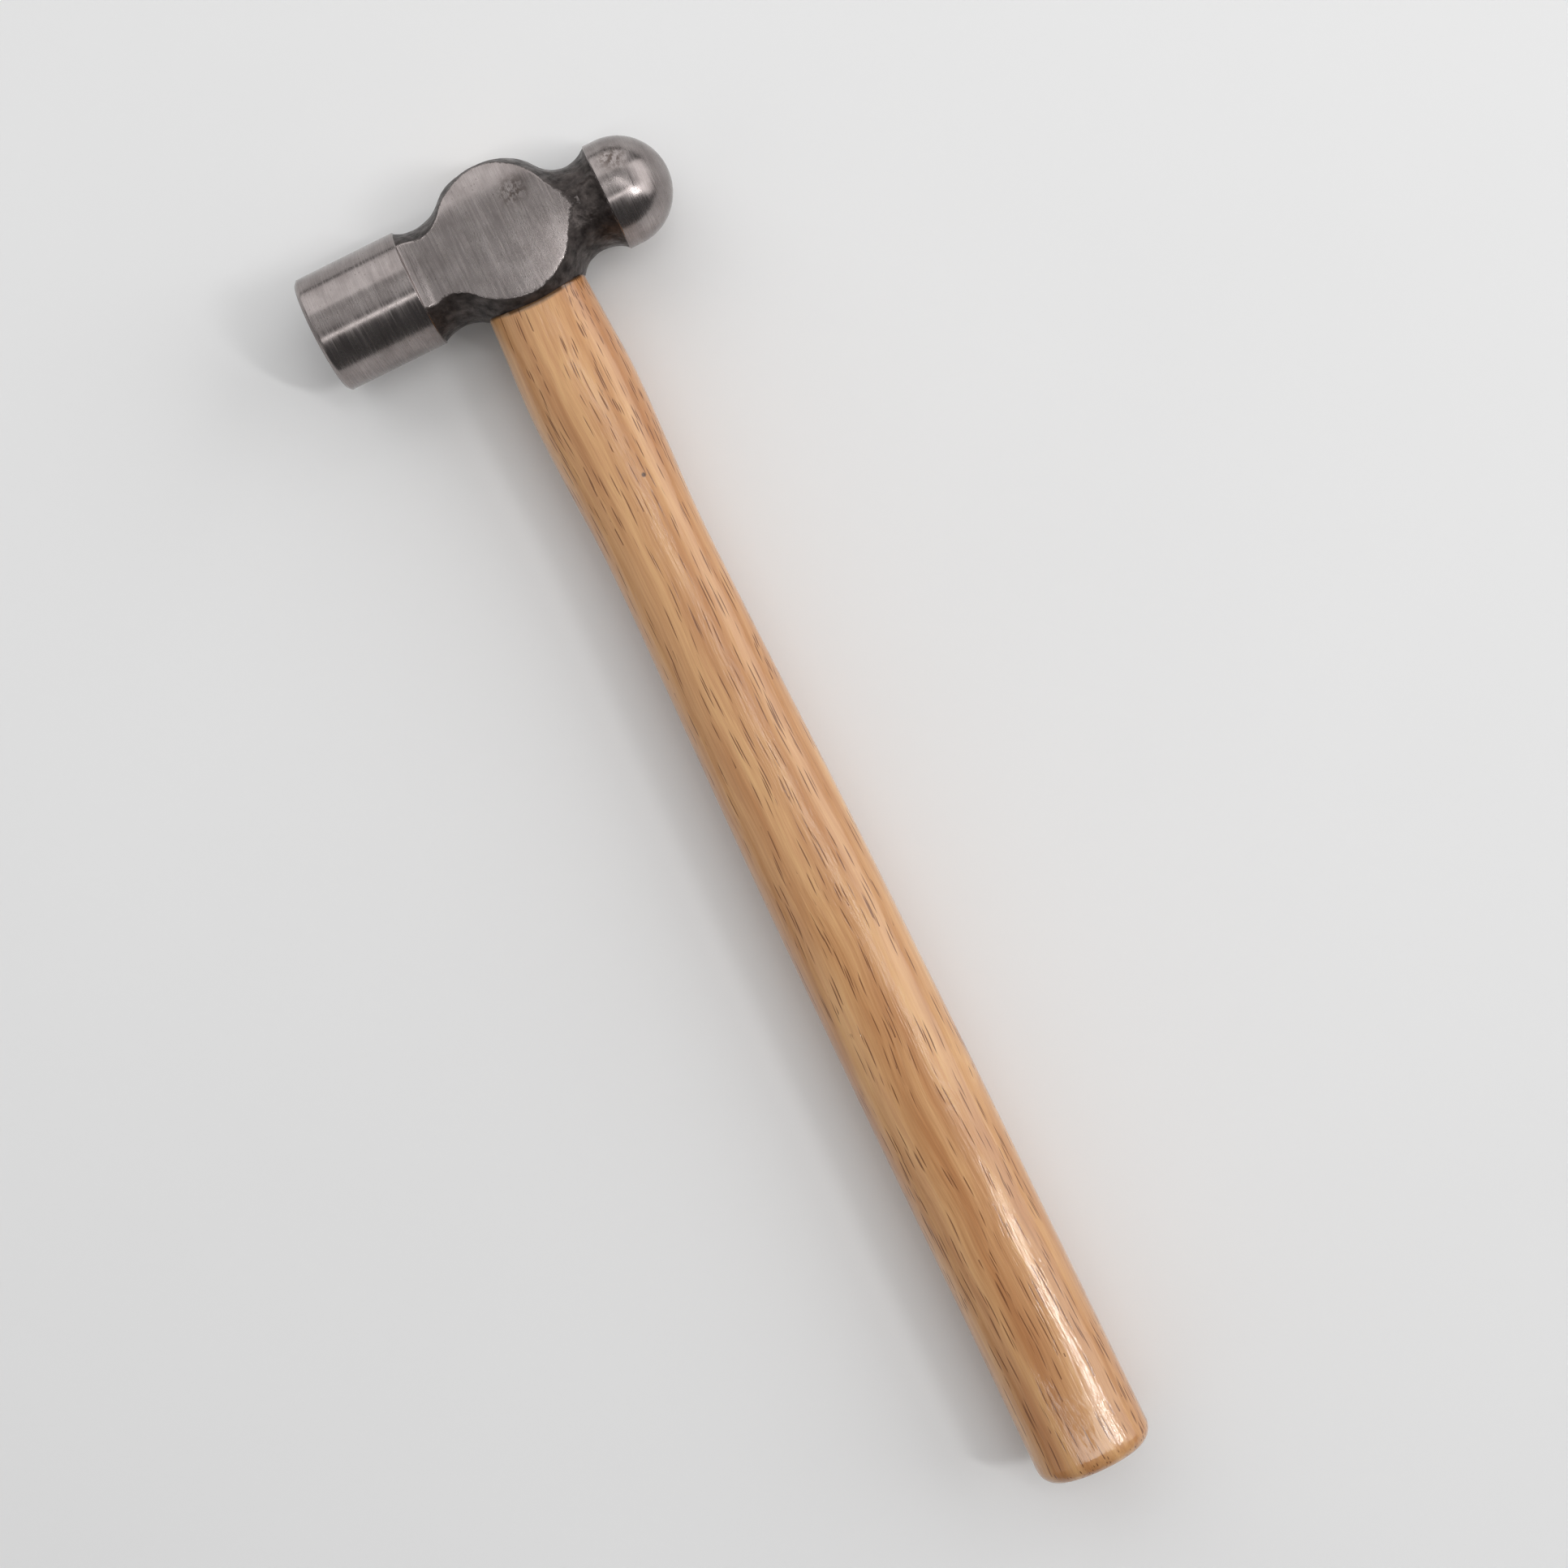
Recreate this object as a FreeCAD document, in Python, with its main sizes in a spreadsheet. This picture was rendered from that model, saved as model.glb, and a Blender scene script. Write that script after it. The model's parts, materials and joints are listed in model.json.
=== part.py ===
import FreeCAD, Part
import os
import Sketcher

# Ball peen hammer, lying on its side: +X along the head towards the ball, +Y along the
# handle towards the head, +Z up, square to the ground cheek. Millimetres.
# Every piece is drawn about the head centre, where the axis of the head crosses the axis of
# the handle, and moved at the end so that the origin is under the middle of the whole hammer.

SIZES = {
    # head: a forging, round about its long axis
    "face_reach": 52.7,          # head centre to the striking face
    "ball_reach": 43.5,          # head centre to the tip of the ball
    "poll_radius": 15.0,         # ground cylinder behind the striking face
    "face_chamfer": 0.8,
    "poll_rim_reach": 25.3,      # head centre to the end of the ground cylinder
    "poll_rim_drop": 0.4,        # step down from the cylinder to the forged neck
    "poll_neck_reach": 19.9,
    "poll_neck_drop": 1.8,       # hollow of the neck, below the cylinder
    "block_radius": 21.2,        # eye block, over the curve at its middle
    "block_arc": 17.6,           # radius of the curve of the eye block along the head
    "ball_neck_reach": 20.5,
    "ball_neck_drop": 2.6,
    "ball_rim_reach": 26.5,
    "ball_rim_drop": 0.3,
    "ball_radius": 13.7,
    # cheeks: ground flat on both sides
    "cheek_half": 12.7,          # head centre to each cheek
    "cheek_blend": 4.1,          # hollow left by the wheel where the cheek runs up to the cylinder
    # eye: oval hole for the handle, narrowest in the middle
    "eye_mid_length": 20.6,
    "eye_mid_width": 13.8,
    "eye_mouth_length": 24.7,
    "eye_mouth_width": 17.9,
    "eye_overrun": 1.0,          # the mouths are measured this far outside the eye block
    "fit_gap": 0.03,             # between wood and steel, each side
    # handle: oval wood, widths across the head axis and thicknesses square to the cheek
    "shoulder": 0.9,             # wood standing out round the eye, each side
    "shaft_start": 14.4,         # head centre to the top of the uncut shaft
    "butt_reach": 338.1,         # head centre to the flat end of the handle
    "butt_round": 4.1,
    # the shaft's width and thickness at eight even steps from the eye to the butt
    "shaft_width_1": 28.6,       # swell below the head
    "shaft_thickness_1": 22.3,
    "shaft_width_2": 26.3,       # waist
    "shaft_thickness_2": 20.8,
    "shaft_width_3": 27.9,
    "shaft_thickness_3": 22.2,
    "shaft_width_4": 29.3,       # grip
    "shaft_thickness_4": 23.4,
    "shaft_width_5": 29.8,
    "shaft_thickness_5": 23.8,
    "shaft_width_6": 30.1,
    "shaft_thickness_6": 24.0,
    "shaft_width_7": 30.3,
    "shaft_thickness_7": 24.2,
    "shaft_width_8": 30.5,       # butt
    "shaft_thickness_8": 24.4,
    # wedges in the end of the handle
    "tenon_inset": 5.3,          # sawn end of the handle, below the crown of the eye block
    "kerf_depth": 33.0,
    "kerf_width": 1.2,
    "wood_wedge_depth": 26.8,
    "wood_wedge_thickness": 3.9,
    "steel_wedge_depth": 12.4,
    "steel_wedge_thickness": 2.5,
    "steel_wedge_tip": 0.5,
    "steel_wedge_width": 10.3,
    "steel_wedge_spacing": 10.9,
}

SHAFT_STEPS = 8


def make_sheet(doc):
    """Put every driving size in a spreadsheet cell that has the size's name."""
    sheet = doc.addObject("Spreadsheet::Sheet", "Sizes")
    for row, (name, value) in enumerate(SIZES.items(), start=1):
        sheet.set(f"A{row}", name)
        sheet.set(f"B{row}", str(value))
        sheet.setAlias(f"B{row}", name)
    doc.recompute()
    return sheet


def named(formula):
    """Write a formula in size names as an expression on the spreadsheet."""
    words = formula.split()
    return " ".join("Sizes." + word if word in SIZES else word for word in words)


def value(doc, formula):
    return doc.Sizes.evalExpression(named(formula))


def make_body(doc, label):
    body = doc.addObject("PartDesign::Body", label)
    body.Label = label
    return body


def plane_of(body, role):
    return [feature for feature in body.Origin.OriginFeatures if feature.Role == role][0]


def make_sketch(body, name, role, offset="0"):
    """Start a sketch on one of the body's own planes, moved along the plane's normal."""
    sketch = body.newObject("Sketcher::SketchObject", name)
    sketch.AttachmentSupport = [(plane_of(body, role), "")]
    sketch.MapMode = "FlatFace"
    if offset != "0":
        sketch.setExpression("AttachmentOffset.Base.z", named(offset))
    return sketch


def bind(sketch, constraint, formula):
    """Add a dimension to a sketch and tie it to the spreadsheet."""
    size = value(sketch.Document, formula)
    index = sketch.addConstraint(Sketcher.Constraint(*constraint, size))
    sketch.setExpression(f"Constraints[{index}]", named(formula))


def pin(sketch, edge, end, across, along):
    """Tie one end of an edge to two formulas, measured from the sketch's origin."""
    bind(sketch, ("DistanceX", edge, end), across)
    bind(sketch, ("DistanceY", edge, end), along)


def draw_polygon(sketch, corners):
    """Draw a closed outline of straight edges through corners given as formulas."""
    doc = sketch.Document
    points = [FreeCAD.Vector(value(doc, x), value(doc, y), 0) for x, y in corners]
    first = sketch.GeometryCount
    for index, point in enumerate(points):
        sketch.addGeometry(Part.LineSegment(point, points[(index + 1) % len(points)]), False)
    for index, (x, y) in enumerate(corners):
        after = first + (index + 1) % len(corners)
        sketch.addConstraint(Sketcher.Constraint("Coincident", first + index, 2, after, 1))
        pin(sketch, first + index, 1, x, y)


def draw_oval(body, name, offset, length, width):
    """Draw an oval square to the handle; its length lies along the head."""
    doc = body.Document
    sketch = make_sketch(body, name, "XZ_Plane", offset)
    half_length = value(doc, length) / 2
    half_width = value(doc, width) / 2
    tips = FreeCAD.Vector(half_length, 0, 0), FreeCAD.Vector(0, half_width, 0)
    sketch.addGeometry(Part.Ellipse(*tips, FreeCAD.Vector()), False)
    sketch.exposeInternalGeometry(0)
    sketch.addConstraint(Sketcher.Constraint("Coincident", 0, 3, -1, 1))
    sketch.addConstraint(Sketcher.Constraint("Horizontal", 1))
    bind(sketch, ("Distance", 1), length)
    bind(sketch, ("Distance", 2), width)
    return sketch


def loft(body, kind, name, sections, ruled):
    """Skin a row of sections, adding to the body or cutting from it."""
    feature = body.newObject("PartDesign::" + kind, name)
    feature.Profile = sections[0]
    feature.Sections = sections[1:]
    feature.Ruled = ruled
    return feature


def cut_through(body, name, sketch, length=None):
    """Cut a sketch out of the body both ways: through everything, or over a length."""
    pocket = body.newObject("PartDesign::Pocket", name)
    pocket.Profile = sketch
    if length is None:
        pocket.Type = "ThroughAll"
    else:
        pocket.Type = "Length"
        pocket.setExpression("Length", named(length))
    pocket.Midplane = True
    return pocket


def draw_head_outline(sketch, gap):
    """Draw half of the forging's outline, from the axis outwards and grown by a gap.

    Each neck is two hollow arcs that meet at its lowest point. One rises to the rim, and the
    other runs smoothly into the arc of the eye block, which settles where the two touch.
    """
    doc = sketch.Document

    def spot(across, out):
        return FreeCAD.Vector(value(doc, across), value(doc, out), 0)

    def between(first, last, sag):
        return (first + last) / 2 - FreeCAD.Vector(0, sag, 0)

    corners = [
        ("- face_reach", "0"),
        ("- face_reach", f"poll_radius - face_chamfer + {gap}"),
        ("face_chamfer - face_reach", f"poll_radius + {gap}"),
        ("- poll_rim_reach", f"poll_radius + {gap}"),
        ("- poll_rim_reach", f"poll_radius - poll_rim_drop + {gap}"),
        ("- poll_neck_reach", f"poll_radius - poll_neck_drop + {gap}"),
        ("ball_neck_reach", f"ball_radius - ball_neck_drop + {gap}"),
        ("ball_rim_reach", f"ball_radius - ball_rim_drop + {gap}"),
        ("ball_rim_reach", f"ball_radius + {gap}"),
        ("ball_reach - ball_radius", f"ball_radius + {gap}"),
        (f"ball_reach + {gap}", "0"),
    ]
    base, bevel, edge, rim, rim_foot, low, ball_low, ball_foot, ball_rim, ball_side, tip = (
        spot(*corner) for corner in corners
    )
    crown = spot("0", f"block_radius + {gap}")
    right_touch = spot("0.7 * block_arc", f"block_radius - 0.3 * block_arc + {gap}")
    left_touch = FreeCAD.Vector(-right_touch.x, right_touch.y, 0)
    ball_middle = spot("ball_reach - 0.3 * ball_radius", "0.7 * ball_radius")
    sketch.addGeometry([
        Part.LineSegment(base, bevel),
        Part.LineSegment(bevel, edge),
        Part.LineSegment(edge, rim),
        Part.LineSegment(rim, rim_foot),
        Part.Arc(rim_foot, between(rim_foot, low, 0.2), low),
        Part.Arc(low, between(low, left_touch, 0.5), left_touch),
        Part.Arc(right_touch, crown, left_touch),
        Part.Arc(right_touch, between(right_touch, ball_low, 0.5), ball_low),
        Part.Arc(ball_low, between(ball_low, ball_foot, 0.2), ball_foot),
        Part.LineSegment(ball_foot, ball_rim),
        Part.LineSegment(ball_rim, ball_side),
        Part.Arc(tip, ball_middle, ball_side),
        Part.LineSegment(tip, base),
    ], False)
    face, slant, cylinder, step, flare, neck, block = range(7)
    ball_neck, ball_flare, ledge, barrel, ball, axis = range(7, 13)
    start, end, middle = 1, 2, 3

    placed_ends = [
        (face, start, axis, end),
        (slant, start, face, end),
        (cylinder, start, slant, end),
        (step, start, cylinder, end),
        (flare, start, step, end),
        (neck, start, flare, end),
        (ball_flare, start, ball_neck, end),
        (ledge, start, ball_flare, end),
        (barrel, start, ledge, end),
        (ball, end, barrel, end),
        (ball, start, axis, start),
    ]
    for ends, corner in zip(placed_ends, corners):
        sketch.addConstraint(Sketcher.Constraint("Coincident", *ends))
        pin(sketch, *ends[:2], *corner)
    for arc, low_end in ((flare, end), (neck, start), (ball_neck, end), (ball_flare, start)):
        sketch.addConstraint(Sketcher.Constraint("Vertical", arc, middle, arc, low_end))
    sketch.addConstraint(Sketcher.Constraint("Tangent", neck, end, block, end))
    sketch.addConstraint(Sketcher.Constraint("Tangent", block, start, ball_neck, start))
    pin(sketch, block, middle, "0", "block_radius - block_arc")
    bind(sketch, ("Radius", block), f"block_arc + {gap}")
    bind(sketch, ("DistanceY", ball, middle), "0")


def make_head(doc):
    """The forged and ground steel head, one piece: face, cylinder, eye block, neck and ball."""
    body = make_body(doc, "head")
    outline = make_sketch(body, "head_outline", "XY_Plane")
    draw_head_outline(outline, "0")
    forging = body.newObject("PartDesign::Revolution", "forging")
    forging.Profile = outline
    forging.ReferenceAxis = (outline, ["H_Axis"])
    forging.Angle = 360

    grind = make_sketch(body, "cheek_grind", "XZ_Plane")
    wheel_x = "cheek_blend - poll_rim_reach"
    top = "cheek_half + cheek_blend"
    low = FreeCAD.Vector(value(doc, wheel_x), value(doc, "cheek_half"), 0)
    blend = value(doc, "cheek_blend")
    centre = low + FreeCAD.Vector(0, blend, 0)
    slope = blend * 0.5 ** 0.5
    far = FreeCAD.Vector(value(doc, "ball_neck_reach"), low.y, 0)
    far_top = FreeCAD.Vector(far.x, value(doc, "block_radius + eye_overrun"), 0)
    near_top = FreeCAD.Vector(low.x - blend, far_top.y, 0)
    rise = FreeCAD.Vector(low.x - blend, centre.y, 0)
    grind.addGeometry([
        Part.Arc(rise, centre - FreeCAD.Vector(slope, slope, 0), low),
        Part.LineSegment(low, far),
        Part.LineSegment(far, far_top),
        Part.LineSegment(far_top, near_top),
        Part.LineSegment(near_top, rise),
    ], False)
    for edge in range(4):
        grind.addConstraint(Sketcher.Constraint("Coincident", edge, 2, edge + 1, 1))
    grind.addConstraint(Sketcher.Constraint("Coincident", 4, 2, 0, 1))
    pin(grind, 0, 3, wheel_x, top)
    pin(grind, 1, 1, wheel_x, "cheek_half")
    bind(grind, ("DistanceY", 0, 1), top)
    pin(grind, 2, 1, "ball_neck_reach", "cheek_half")
    pin(grind, 3, 1, "ball_neck_reach", "block_radius + eye_overrun")
    pin(grind, 4, 1, "- poll_rim_reach", "block_radius + eye_overrun")
    upper_cheek = cut_through(body, "upper_cheek", grind)
    doc.recompute()
    both_cheeks = body.newObject("PartDesign::Mirrored", "both_cheeks")
    both_cheeks.Originals = [upper_cheek]
    both_cheeks.MirrorPlane = (plane_of(body, "XY_Plane"), [""])
    body.Tip = both_cheeks

    below = "block_radius + eye_overrun"
    above = "- ( block_radius + eye_overrun )"
    ovals = [
        draw_oval(body, "eye_lower_mouth", below, "eye_mouth_length", "eye_mouth_width"),
        draw_oval(body, "eye_middle", "0", "eye_mid_length", "eye_mid_width"),
        draw_oval(body, "eye_upper_mouth", above, "eye_mouth_length", "eye_mouth_width"),
    ]
    loft(body, "SubtractiveLoft", "eye", ovals, True)
    return body


def skin_tenon(body):
    """Fill the eye with wood, from inside the shaft up to the sawn end."""
    share = "* ( block_radius - tenon_inset ) / ( block_radius + eye_overrun )"
    top_length = f"eye_mid_length + ( eye_mouth_length - eye_mid_length ) {share}"
    top_width = f"eye_mid_width + ( eye_mouth_width - eye_mid_width ) {share}"
    thinner = "- 2 * fit_gap"
    bottom = "block_radius + eye_overrun"
    top = "tenon_inset - block_radius"
    ovals = [
        draw_oval(body, "tenon_bottom", bottom, f"eye_mouth_length {thinner}", f"eye_mouth_width {thinner}"),
        draw_oval(body, "tenon_middle", "0", f"eye_mid_length {thinner}", f"eye_mid_width {thinner}"),
        draw_oval(body, "tenon_top", top, f"{top_length} {thinner}", f"{top_width} {thinner}"),
    ]
    return loft(body, "AdditiveLoft", "tenon", ovals, True)


def wood_wedge_outline(gap, bottom, tip):
    """Half thickness of the wood wedge from the sawn end down to its tip, both sides."""
    over = "block_radius - tenon_inset + eye_overrun"
    slope = "( wood_wedge_thickness - kerf_width ) / wood_wedge_depth * eye_overrun"
    top_half = f"( wood_wedge_thickness + {slope} ) / 2 + {gap}"
    side = [(over, top_half), (tip, f"kerf_width / 2 + {gap}")]
    if bottom != tip:
        side.append((bottom, f"kerf_width / 2 + {gap}"))
    other = [(along, f"- ( {half} )") for along, half in reversed(side)]
    return side + other


def cut_steel_wedge_slots(body, gap):
    """Cut the two slots that the steel wedges split open."""
    for number, side in ((1, "-"), (2, "")):
        sketch = make_sketch(body, f"slot_{number}", "XY_Plane")
        draw_polygon(sketch, steel_wedge_outline(f"{side} steel_wedge_spacing / 2", gap, "eye_overrun"))
        cut_through(body, f"steel_wedge_slot_{number}", sketch, f"steel_wedge_width + 2 * {gap}")


def steel_wedge_outline(middle, gap, above):
    """Outline of a steel wedge about its own middle line, thin end down."""
    top = f"block_radius - tenon_inset + {above}"
    tip = f"block_radius - tenon_inset - steel_wedge_depth - {gap}"
    slope = "( steel_wedge_thickness - steel_wedge_tip ) / steel_wedge_depth"
    top_half = f"( steel_wedge_thickness + {slope} * {above} ) / 2 + {gap}"
    tip_half = f"steel_wedge_tip / 2 + {gap}"
    return [
        (f"{middle} - ( {top_half} )", top),
        (f"{middle} - ( {tip_half} )", tip),
        (f"{middle} + {tip_half}", tip),
        (f"{middle} + {top_half}", top),
    ]


def make_handle(doc):
    """The wooden handle: oval shaft, rounded butt, and a tenon that fills the eye."""
    body = make_body(doc, "handle")
    ovals = [draw_oval(
        body, "shaft_0", "shaft_start", "eye_mouth_length + 2 * shoulder", "eye_mouth_width + 2 * shoulder"
    )]
    for step in range(1, SHAFT_STEPS + 1):
        reach = f"shaft_start + ( butt_reach - shaft_start ) * {step} / {SHAFT_STEPS}"
        size = (f"shaft_width_{step}", f"shaft_thickness_{step}")
        ovals.append(draw_oval(body, f"shaft_{step}", reach, *size))
    shaft = loft(body, "AdditiveLoft", "shaft", ovals, False)
    doc.recompute()
    butt_y = -value(doc, "butt_reach")
    edges = [
        f"Edge{number}" for number, edge in enumerate(shaft.Shape.Edges, start=1)
        if abs(edge.BoundBox.YMin - butt_y) < 0.01 and abs(edge.BoundBox.YMax - butt_y) < 0.01
    ]
    rounding = body.newObject("PartDesign::Fillet", "butt_rounding")
    rounding.Base = (shaft, edges)
    rounding.setExpression("Radius", named("butt_round"))
    body.Tip = rounding

    cope_outline = make_sketch(body, "cope_outline", "XY_Plane")
    draw_head_outline(cope_outline, "fit_gap")
    cope = body.newObject("PartDesign::Groove", "cope")
    cope.Profile = cope_outline
    cope.ReferenceAxis = (cope_outline, ["H_Axis"])
    cope.Angle = 360
    skin_tenon(body)

    kerf = make_sketch(body, "kerf_outline", "YZ_Plane")
    tip = "block_radius - tenon_inset - wood_wedge_depth - fit_gap"
    draw_polygon(kerf, wood_wedge_outline("fit_gap", "block_radius - tenon_inset - kerf_depth", tip))
    cut_through(body, "kerf", kerf)
    cut_steel_wedge_slots(body, "fit_gap")
    return body


def make_wood_wedge(doc):
    """The wooden wedge that spreads the tenon along the head, trimmed to the oval of the eye."""
    body = make_body(doc, "wood_wedge")
    skin_tenon(body)
    trim = make_sketch(body, "wedge_trim", "YZ_Plane")
    tip = "block_radius - tenon_inset - wood_wedge_depth"
    draw_polygon(trim, wood_wedge_outline("0", tip, tip))
    far = "block_radius + 2 * eye_overrun"
    back = f"- ( {far} )"
    draw_polygon(trim, [(far, far), (far, back), (back, back), (back, far)])
    cut_through(body, "wedge_faces", trim)
    cut_steel_wedge_slots(body, "fit_gap")
    return body


def make_steel_wedge(doc, number, side):
    """A steel wedge driven across the wooden one."""
    body = make_body(doc, f"steel_wedge_{number}")
    sketch = make_sketch(body, f"steel_wedge_{number}_outline", "XY_Plane")
    draw_polygon(sketch, steel_wedge_outline(f"{side} steel_wedge_spacing / 2", "0", "0"))
    pad = body.newObject("PartDesign::Pad", f"steel_wedge_{number}_pad")
    pad.Profile = sketch
    pad.setExpression("Length", named("steel_wedge_width"))
    pad.Midplane = True
    return body


def set_down(pieces):
    """Lay the hammer on its lowest line, with the origin under the middle of its box."""
    box = FreeCAD.BoundBox()
    for piece in pieces:
        box.add(piece.Shape.optimalBoundingBox(False, False))
    shift = FreeCAD.Vector(-box.Center.x, -box.Center.y, -box.ZMin)
    for piece in pieces:
        piece.Placement = FreeCAD.Placement(shift, FreeCAD.Rotation())
    print("box", round(box.XLength, 2), round(box.YLength, 2), round(box.ZLength, 2))
    print("head centre", round(shift.x, 3), round(shift.y, 3), round(shift.z, 3))


def check(doc, pieces):
    """Stop unless every feature worked and every piece is one valid closed solid."""
    for item in doc.Objects:
        if "Invalid" in item.State or "Error" in item.State:
            raise RuntimeError(f"{item.Label}: {item.State}")
    for piece in pieces:
        shape = piece.Shape
        if shape.isNull() or not shape.isValid() or len(shape.Solids) != 1:
            raise RuntimeError(f"{piece.Label}: not one valid solid")
        print(piece.Label, "volume", round(shape.Volume / 1000, 2), "cm3")


def main():
    doc = FreeCAD.newDocument("hammer")
    make_sheet(doc)
    pieces = [make_head(doc), make_handle(doc), make_wood_wedge(doc)]
    pieces += [make_steel_wedge(doc, number, side) for number, side in ((1, "-"), (2, ""))]
    doc.recompute()
    check(doc, pieces)
    set_down(pieces)
    os.makedirs("parts", exist_ok=True)
    for piece in pieces:
        piece.Shape.exportStep(f"parts/{piece.Label}.step")


main()
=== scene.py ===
# %% [markdown]
# # A ball peen hammer, lying on its side
#
# This lesson dresses a ball peen hammer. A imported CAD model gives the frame: where every piece
# is, and how large. The looks are made here: a drop-forged head, ground bright where it works
# and left black at its necks, on an oval lacquered handle that is held by three wedges.
#
# The first step loads the frame and keeps the size of the CAD model.

# %% Load the frame
import json
import math

import bmesh
import bpy
import numpy as np
from mathutils import Matrix, Vector, noise


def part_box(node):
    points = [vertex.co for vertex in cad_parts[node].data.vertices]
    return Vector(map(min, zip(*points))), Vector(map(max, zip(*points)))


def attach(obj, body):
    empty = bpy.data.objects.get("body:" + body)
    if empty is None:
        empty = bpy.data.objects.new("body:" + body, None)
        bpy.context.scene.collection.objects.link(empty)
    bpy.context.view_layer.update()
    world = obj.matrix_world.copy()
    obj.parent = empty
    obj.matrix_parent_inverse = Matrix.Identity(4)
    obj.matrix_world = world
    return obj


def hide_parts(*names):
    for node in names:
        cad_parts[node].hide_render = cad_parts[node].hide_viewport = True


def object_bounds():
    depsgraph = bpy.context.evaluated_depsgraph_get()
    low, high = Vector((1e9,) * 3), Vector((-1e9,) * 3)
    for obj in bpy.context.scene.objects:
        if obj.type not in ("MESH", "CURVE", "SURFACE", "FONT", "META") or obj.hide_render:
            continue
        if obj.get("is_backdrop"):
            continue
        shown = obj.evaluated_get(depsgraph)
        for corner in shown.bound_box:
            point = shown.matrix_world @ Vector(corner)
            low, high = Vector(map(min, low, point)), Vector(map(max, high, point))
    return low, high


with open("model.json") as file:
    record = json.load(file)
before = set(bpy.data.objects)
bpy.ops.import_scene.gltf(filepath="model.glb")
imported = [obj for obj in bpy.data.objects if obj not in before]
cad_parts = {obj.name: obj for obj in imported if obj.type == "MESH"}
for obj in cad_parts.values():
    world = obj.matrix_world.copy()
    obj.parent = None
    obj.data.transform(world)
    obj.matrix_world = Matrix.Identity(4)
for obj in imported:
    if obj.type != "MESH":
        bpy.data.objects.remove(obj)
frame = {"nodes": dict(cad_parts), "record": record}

MM = 0.001
cad_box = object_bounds()
mounts = {mount["name"]: mount for mount in frame["record"]["mounts"]}
face_x = mounts["striking_face"]["pos_m"][0]
head_x, head_y = mounts["upper_cheek"]["pos_m"][:2]
head_z = mounts["striking_face"]["pos_m"][2]
HEAD = Vector((head_x, head_y, head_z))
head_low, head_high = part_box("head")
handle_low, handle_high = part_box("handle")
print("head centre, mm:", [round(value / MM, 2) for value in HEAD])

# %% [markdown]
# ## Small helpers
#
# Colours are written as sRGB hex, the way a paint chart gives them, and Blender wants linear
# numbers, so one function turns one into the other. A material is a tree of nodes. One
# function adds a node, gives it its settings and fills its inputs with values or links.
# A mesh is made from arrays of points and faces in one go, because that is fast and exact.

# %% Colour, node and mesh helpers
def colour(code):
    channels = [int(code[place:place + 2], 16) / 255 for place in (1, 3, 5)]
    linear = [c / 12.92 if c <= 0.04045 else ((c + 0.055) / 1.055) ** 2.4 for c in channels]
    return (*linear, 1.0)


def add(tree, kind, inputs=None, **settings):
    """Add a node. An input's value is a socket to link, or a number, colour or vector."""
    node = tree.nodes.new("ShaderNode" + kind)
    for name, setting in settings.items():
        setattr(node, name, setting)
    for name, given in (inputs or {}).items():
        socket = node.inputs[name]
        if isinstance(given, bpy.types.NodeSocket):
            tree.links.new(given, socket)
        elif isinstance(given, str):
            socket.default_value = colour(given)
        else:
            socket.default_value = given
    return node


def new_material(name):
    material = bpy.data.materials.new(name)
    material.use_nodes = True
    material.node_tree.nodes.clear()
    return material, material.node_tree


def new_piece(name, points, faces):
    mesh = bpy.data.meshes.new(name)
    mesh.from_pydata(points, [], faces)
    mesh.update()
    mesh.shade_smooth()
    piece = bpy.data.objects.new(name, mesh)
    bpy.context.collection.objects.link(piece)
    return piece


def placed(points):
    """Points given in mm from the head's centre, as places in the frame in metres."""
    return [HEAD + Vector(point) * MM for point in points]


def close_grid(rings, count):
    """Faces of a closed skin: rings of points in a row, with a single point at each end."""
    faces = []
    first, last = 0, 1 + rings * count
    for step in range(count):
        after = (step + 1) % count
        faces.append((first, 1 + after, 1 + step))
        faces.append((last, 1 + (rings - 1) * count + step, 1 + (rings - 1) * count + after))
    for ring in range(rings - 1):
        here = 1 + ring * count
        for step in range(count):
            after = (step + 1) % count
            faces.append((here + step, here + after, here + count + after, here + count + step))
    return faces


def cut(piece, tool, operation="DIFFERENCE"):
    """Cut one closed mesh with another, or join them, and keep the result as plain mesh."""
    modifier = piece.modifiers.new("cut", "BOOLEAN")
    modifier.object = tool
    modifier.operation = operation
    modifier.solver = "EXACT"
    depsgraph = bpy.context.evaluated_depsgraph_get()
    old = piece.data
    piece.data = bpy.data.meshes.new_from_object(piece.evaluated_get(depsgraph))
    piece.modifiers.clear()
    bpy.data.meshes.remove(old)


print("helpers ready")

# %% [markdown]
# ## The camera
#
# The hammer is seen from straight above, a little less than two hammer lengths away, with a
# lens of about 56 mm. The camera stands slightly to the ball's side of the handle and is
# turned about its own axis, so that the handle runs down and to the right.

# %% Camera
eye_point = HEAD + Vector((26.0, -150.2, 609.0)) * MM
target = HEAD + Vector((2.7, -151.5, 0.0)) * MM
VIEW_WIDTH = 392.2 * MM          # how much of the hammer's middle plane fits in the frame
roll = math.radians(25.835)
up = Vector((math.sin(roll), math.cos(roll), 0))
back = (eye_point - target).normalized()
right = up.cross(back).normalized()
camera_data = bpy.data.cameras.new("camera")
camera_data.sensor_width = 36
camera_data.lens = 36 * (eye_point - target).length / VIEW_WIDTH
camera = bpy.data.objects.new("camera", camera_data)
turn = Matrix((right, back.cross(right), back)).transposed()
camera.matrix_world = Matrix.Translation(eye_point) @ turn.to_4x4()
bpy.context.collection.objects.link(camera)
bpy.context.scene.camera = camera
print("lens, mm:", round(camera_data.lens, 1))

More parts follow.
